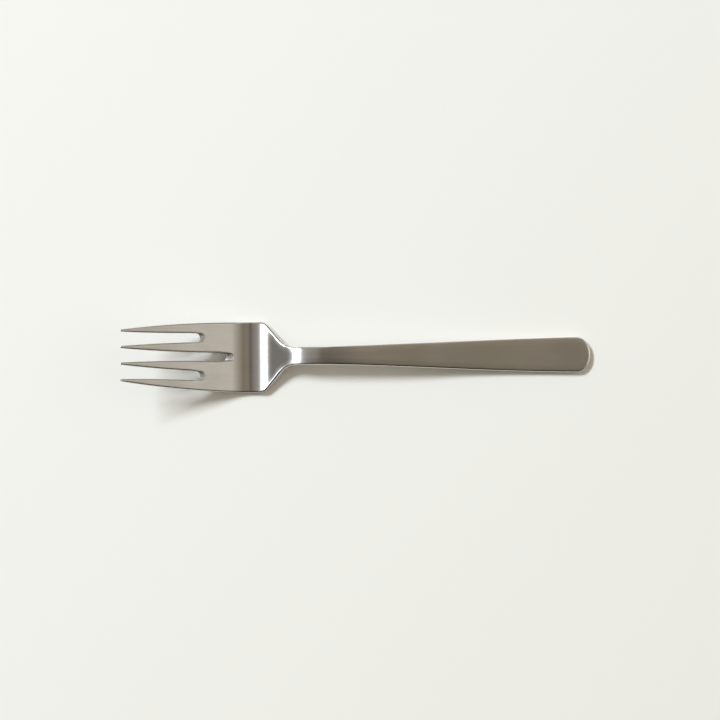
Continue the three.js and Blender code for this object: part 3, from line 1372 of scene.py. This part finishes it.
def close_cuts(mesh: bpy.types.Mesh) -> None:
    """Closes the open cuts of a section with flat faces, and keeps the normals of the whole skin along them.

    Args:
        mesh: Mesh of the section, with the skin's normals as an attribute.
    """
    skin_faces = len(mesh.polygons)
    work = bmesh.new()
    work.from_mesh(mesh)
    open_edges = [edge for edge in work.edges if edge.is_boundary]
    bmesh.ops.holes_fill(work, edges=open_edges, sides=0)
    bmesh.ops.recalc_face_normals(work, faces=work.faces)
    for face in work.faces:
        face.smooth = True
    work.to_mesh(mesh)
    work.free()
    kept = np.zeros(len(mesh.vertices) * 3, np.float32)
    mesh.attributes[NORMAL_ATTRIBUTE].data.foreach_get("vector", kept)
    kept = kept.reshape(-1, 3)
    normals = []
    for face in mesh.polygons:
        is_cut = face.index >= skin_faces
        normals.extend(tuple(face.normal) if is_cut else tuple(kept[corner]) for corner in face.vertices)
    for name in (NORMAL_ATTRIBUTE, SECTION_ATTRIBUTE):
        mesh.attributes.remove(mesh.attributes[name])
    mesh.normals_split_custom_set(normals)


@dataclass(frozen=True)
class Brushing:
    """The brushing: fine lines along the fork, and broader streaks among them. Sizes are in millimetres."""

    line_pitch: float = 0.14
    line_length: float = 9.0
    line_detail: float = 3.0
    streak_pitch: float = 0.9
    streak_detail: float = 2.0
    streak_offset: float = 7.3
    unevenness: float = 0.6

    def build(self) -> bpy.types.NodeTree:
        """Builds the effect.

        Returns:
            A group from a place in millimetres to the lines and streaks, each from 0 to 1.
        """
        group = NodeGroup("brushing", "ShaderNodeTree")
        place = group.add_input("Place", "NodeSocketVector")
        line_pitch = group.add_input("Line Pitch", "NodeSocketFloat", self.line_pitch)
        line_length = group.add_input("Line Length", "NodeSocketFloat", self.line_length)
        streak_pitch = group.add_input("Streak Pitch", "NodeSocketFloat", self.streak_pitch)
        split = group.add("ShaderNodeSeparateXYZ", {0: place}).outputs
        along = group.calculate("DIVIDE", split["Y"], line_length)
        layers = (
            ("Lines", line_pitch, 0.0, self.line_detail),
            ("Streaks", streak_pitch, self.streak_offset, self.streak_detail),
        )
        # Each layer is noise that changes quickly across the fork and slowly along it
        for name, pitch, offset, detail in layers:
            across = group.calculate("DIVIDE", split["X"], pitch)
            at = group.add("ShaderNodeCombineXYZ", {"X": across, "Y": along, "Z": offset}).outputs[0]
            group.add_output(name, "NodeSocketFloat", group.noise(at, 1.0, detail, self.unevenness))
        return group.tree


@dataclass(frozen=True)
class Handling:
    """The traces of use: soft cloudy smudges where the fork is held and wiped, sized in millimetres."""

    size: float = 9.0
    detail: float = 3.0
    unevenness: float = 0.55
    levels: Point = (0.42, 0.66)

    def build(self) -> bpy.types.NodeTree:
        """Builds the effect.

        Returns:
            A group from a place in millimetres to the smudges, from 0 to 1.
        """
        group = NodeGroup("handling", "ShaderNodeTree")
        place = group.add_input("Place", "NodeSocketVector")
        size = group.add_input("Smudge Size", "NodeSocketFloat", self.size)
        scale = group.calculate("DIVIDE", 1.0, size)
        cloud = group.noise(place, scale, self.detail, self.unevenness)
        group.add_output("Smudges", "NodeSocketFloat", group.carry(cloud, self.levels))
        return group.tree


@dataclass(frozen=True)
class SatinSteel:
    """Satin stainless steel: finely brushed along the fork, a little smoother on its rolled edges, and with
    painted shade in the punched slot roots.
    """

    name: str = SLOT_NAME
    colour: Colour = (0.60, 0.59, 0.58)
    streak_colour: Colour = (0.68, 0.67, 0.66)
    # Painted shade for the punched slot roots, which are also rougher and less metallic
    cut_colour: Colour = (0.26, 0.24, 0.21)
    roughness: float = 0.31
    streak_roughness: float = 0.05
    smudge_roughness: float = 0.02
    rim_polish: float = 0.22
    polish_reach: float = 0.45
    cut_roughness: float = 0.3
    cut_metal: float = 0.15
    anisotropy: float = 1.0
    line_height: float = 0.0015
    bump_strength: float = 0.4
    brushing: Brushing = Brushing()
    handling: Handling = Handling()

    def build(self) -> bpy.types.Material:
        """Builds the material.

        Returns:
            The material.
        """
        material = bpy.data.materials.new(self.name)
        material.use_nodes = True
        net = NodeNet(material.node_tree)
        flat = net.scale(net.add("ShaderNodeUVMap", uv_map=BLANK_MAP).outputs[0], 1 / MAP_SHARE)
        place = net.scale(net.add("ShaderNodeTexCoord").outputs["Object"], 1 / MM)
        brushed = net.add("ShaderNodeGroup", {"Place": flat}, node_tree=self.brushing.build()).outputs
        handled = net.add("ShaderNodeGroup", {"Place": place}, node_tree=self.handling.build()).outputs
        rim = net.add("ShaderNodeAttribute", attribute_name=RIM_ATTRIBUTE).outputs["Fac"]
        cut = net.add("ShaderNodeAttribute", attribute_name=CUT_ATTRIBUTE).outputs["Fac"]
        tone = net.mix(brushed["Streaks"], self.colour, self.streak_colour)
        roughness = self.roughness - self.streak_roughness / 2
        changes = (
            (brushed["Lines"], self.streak_roughness),
            (handled["Smudges"], self.smudge_roughness),
            (net.carry(rim, (0.0, self.polish_reach)), -self.rim_polish),
            (cut, self.cut_roughness),
        )
        for share, change in changes:
            roughness = net.calculate("MULTIPLY_ADD", share, change, roughness)
        relief = {"Strength": self.bump_strength, "Distance": self.line_height * MM}
        bump = net.add("ShaderNodeBump", {"Height": brushed["Lines"], **relief})
        tangent = net.add("ShaderNodeTangent", direction_type="UV_MAP", uv_map=BLANK_MAP)
        steel = net.add(
            "ShaderNodeBsdfPrincipled",
            {
                # The punched slot roots get painted shade in the base colour
                "Base Color": net.mix(cut, tone, self.cut_colour),
                "Metallic": net.calculate("MULTIPLY_ADD", cut, self.cut_metal - 1.0, 1.0),
                "Roughness": roughness,
                "Anisotropic": self.anisotropy,
                "Normal": bump.outputs["Normal"],
                "Tangent": tangent.outputs["Tangent"],
            },
        )
        net.add("ShaderNodeOutputMaterial", {"Surface": steel.outputs["BSDF"]})
        return material


@dataclass(frozen=True)
class Fork:
    """The whole fork: its blank, pressed and parted into the sections that stand for the CAD nodes."""

    blank: Blank = field(default_factory=Blank)
    finish: SatinSteel = field(default_factory=SatinSteel)

    def build(self) -> None:
        """Builds every section, dresses it and binds it to the frame."""
        steel = self.finish.build()
        profile = self.blank.profile.make_curve()
        skin = BlankSkin(self.blank).make_mesh()
        press = Press(skin, profile)
        net = press.build_tree()
        for section in Section:
            piece = press.press_section(net, section, steel)
            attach(piece, BODY)
            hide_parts(section.node)
            log.info("%s: %d faces", piece.name, len(piece.data.polygons))
        bpy.data.curves.remove(profile.data)
        bpy.data.meshes.remove(skin)


@dataclass(frozen=True)
class Softbox:
    """An elliptical lamp that hangs level above the table and faces down."""

    name: str
    x_slopes: Point
    y_slopes: Point
    height: float
    radiance: float
    colour: Colour = (1.0, 1.0, 1.0)

    def build(self) -> bpy.types.Object:
        """Hangs the lamp. The slopes say how far it spans sideways for each metre of height.

        Returns:
            The lamp.
        """
        lamp = bpy.data.lights.new(self.name, "AREA")
        lamp.shape = "ELLIPSE"
        lamp.size = (self.x_slopes[1] - self.x_slopes[0]) * self.height
        lamp.size_y = (self.y_slopes[1] - self.y_slopes[0]) * self.height
        # A lamp's power is its radiance times pi times its area, here that of an ellipse
        lamp.energy = self.radiance * math.pi * math.pi / 4 * lamp.size * lamp.size_y
        lamp.color = self.colour
        made = bpy.data.objects.new(self.name, lamp)
        made.location = (
            sum(self.x_slopes) / 2 * self.height,
            sum(self.y_slopes) / 2 * self.height,
            self.height,
        )
        bpy.context.scene.collection.objects.link(made)
        return made


@dataclass(frozen=True)
class Board:
    """A round board in the room: the way to its middle, and how nearly a direction has to point that way."""

    towards: Spot
    core: float
    edge: float

    def cover(self, net: NodeNet, direction: Socket, levels: Point = (0.0, 1.0)) -> Socket:
        """A number that goes from the first level off the board to the second on its core."""
        facing = net.combine("DOT_PRODUCT", direction, self.towards)
        return net.carry(facing, (self.edge, self.core), levels)


@dataclass(frozen=True)
class Room:
    """The room round the table, warm and dim: lighter beyond the handle end, and dark on the near side.

    A dark screen stands off the far corner of the handle end, and a pale card off the near corner of the
    tips. The tone along the fork goes by the angle from straight up, in degrees, positive beyond the handle
    end. It is multiplied by the tone across, which goes by the share of the way to the near side, at 1, or to
    the far side, at -1.
    """

    along: tuple[tuple[float, Colour], ...] = (
        (-90, (0.6, 0.602, 0.61)),
        (-78, (0.4, 0.398, 0.403)),
        (-66, (0.27, 0.265, 0.267)),
        (-48, (0.25, 0.245, 0.245)),
        (-20, (0.42, 0.413, 0.398)),
        (-13, (0.41, 0.388, 0.365)),
        (-6, (0.42, 0.383, 0.354)),
        (-3, (0.29, 0.265, 0.251)),
        (-1, (0.15, 0.141, 0.142)),
        (1, (0.13, 0.122, 0.125)),
        (3.5, (0.33, 0.296, 0.256)),
        (6, (0.425, 0.378, 0.308)),
        (17, (0.3, 0.269, 0.212)),
        (23, (0.46, 0.428, 0.365)),
        (31, (0.68, 0.65, 0.57)),
        (40, (1.02, 0.973, 0.89)),
        (46, (1.33, 1.262, 1.15)),
        (60, (1.33, 1.262, 1.15)),
        (90, (0.62, 0.612, 0.6)),
    )
    across: tuple[tuple[float, Colour], ...] = (
        (-1.0, (1.0, 0.93, 0.82)),
        (-0.7, (1.28, 1.18, 0.98)),
        (-0.4, (1.2, 1.17, 1.09)),
        (0.0, (1.0, 1.0, 1.0)),
        (0.2, (0.78, 0.76, 0.74)),
        (0.4, (0.32, 0.29, 0.25)),
        (0.6, (0.10, 0.085, 0.06)),
        (1.0, (0.10, 0.085, 0.06)),
    )
    horizon: Colour = (0.47, 0.41, 0.32)
    horizon_low: float = 0.05
    horizon_high: float = 0.45
    screen: Board = Board(towards=(-0.64, -0.69, 0.34), core=0.965, edge=0.89)
    screen_tone: float = 0.18
    card: Board = Board(towards=(0.52, 0.41, 0.75), core=0.985, edge=0.945)
    card_colour: Colour = (0.8, 0.765, 0.64)

    def build(self) -> None:
        """Writes the room into the world's nodes."""
        world = bpy.data.worlds.new("room")
        bpy.context.scene.world = world
        world.use_nodes = True
        net = NodeNet(world.node_tree)
        direction = net.add("ShaderNodeTexCoord").outputs["Generated"]
        split = net.add("ShaderNodeSeparateXYZ", {0: direction}).outputs
        toward_end = net.calculate("MULTIPLY", split["X"], -1.0)
        angle = net.calculate("ARCTAN2", toward_end, split["Z"])
        turn = net.carry(angle, (-math.pi / 2, math.pi / 2), eased=False)
        side = net.carry(split["Y"], (-1.0, 1.0), eased=False)
        long_tone = net.ramp(turn, [((at + QUARTER_TURN) / HALF_TURN, tone) for at, tone in self.along])
        cross_tone = net.ramp(side, [((at + 1) / 2, tone) for at, tone in self.across])
        low = net.carry(split["Z"], (self.horizon_low, self.horizon_high), (1.0, 0.0))
        tone = net.mix(1.0, net.mix(low, long_tone, self.horizon), cross_tone, "MULTIPLY")
        lit = net.mix(self.card.cover(net, direction), tone, self.card_colour)
        shade = self.screen.cover(net, direction, (1.0, self.screen_tone))
        glow = net.add("ShaderNodeBackground", {"Color": lit, "Strength": shade})
        net.add("ShaderNodeOutputWorld", {"Surface": glow.outputs[0]})


@dataclass(frozen=True)
class Floor:
    """The pale tabletop under the fork."""

    half: float = 6.0
    drop: float = 0.00002
    colour: Colour = (0.915, 0.895, 0.85)
    roughness: float = 0.9
    shine: float = 0.2

    def build(self) -> None:
        """Lays the floor."""
        corners = [(-1, -1), (1, -1), (1, 1), (-1, 1)]
        mesh = bpy.data.meshes.new("tabletop")
        mesh.from_pydata([(x * self.half, y * self.half, -self.drop) for x, y in corners], [], [(0, 1, 2, 3)])
        material = bpy.data.materials.new("tabletop")
        material.use_nodes = True
        shader = material.node_tree.nodes["Principled BSDF"]
        shader.inputs["Base Color"].default_value = (*self.colour, 1.0)
        shader.inputs["Roughness"].default_value = self.roughness
        shader.inputs["Specular IOR Level"].default_value = self.shine
        mesh.materials.append(material)
        made = bpy.data.objects.new("tabletop", mesh)
        bpy.context.scene.collection.objects.link(made)


@dataclass(frozen=True)
class Viewpoint:
    """The camera: nearly overhead, leaning a little toward the near side of the table."""

    distance: float = 0.9
    frame_width: float = 0.27073
    lean: float = 3.66
    turn: float = 0.48
    aim_x: float = -0.00094
    aim_y: float = 0.00122
    sensor: float = 36.0
    nearest: float = 0.05
    farthest: float = 20.0

    def build(self) -> None:
        """Places the camera and makes it the scene's own."""
        camera = bpy.data.cameras.new("camera")
        camera.sensor_width = self.sensor
        camera.lens = self.sensor * self.distance / self.frame_width
        camera.clip_start = self.nearest
        camera.clip_end = self.farthest
        made = bpy.data.objects.new("camera", camera)
        half_turn = Matrix.Rotation(math.pi - math.radians(self.turn), 4, "Z")
        lean = Matrix.Rotation(math.radians(self.lean), 4, "X")
        back = Matrix.Translation((0.0, 0.0, self.distance))
        made.matrix_world = Matrix.Translation((self.aim_x, self.aim_y, 0.0)) @ half_turn @ lean @ back
        bpy.context.scene.collection.objects.link(made)
        bpy.context.scene.camera = made


@dataclass(frozen=True)
class Studio:
    """Camera, floor, lamp and room."""

    viewpoint: Viewpoint = field(default_factory=Viewpoint)
    floor: Floor = field(default_factory=Floor)
    room: Room = field(default_factory=Room)
    key_lamp: Softbox = Softbox(
        "key_lamp",
        x_slopes=(0.53, 0.84),
        y_slopes=(-0.86, -0.35),
        height=3.4,
        radiance=55.5,
        colour=(0.84, 0.925, 1.0),
    )

    def build(self) -> None:
        """Sets up everything round the fork."""
        self.viewpoint.build()
        self.floor.build()
        self.room.build()
        lamp = self.key_lamp.build()
        log.info("%s: %.1f W", lamp.name, lamp.data.energy)


def main() -> None:
    """Loads the frame, sets up the studio and builds the fork."""
    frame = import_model()
    logging.basicConfig(level=logging.INFO, format="%(name)s: %(message)s")
    log.info("frame: %d nodes", len(frame["nodes"]))
    bpy.context.scene.view_settings.view_transform = "Standard"
    Studio().build()
    Fork().build()


if __name__ == "__main__":
    main()
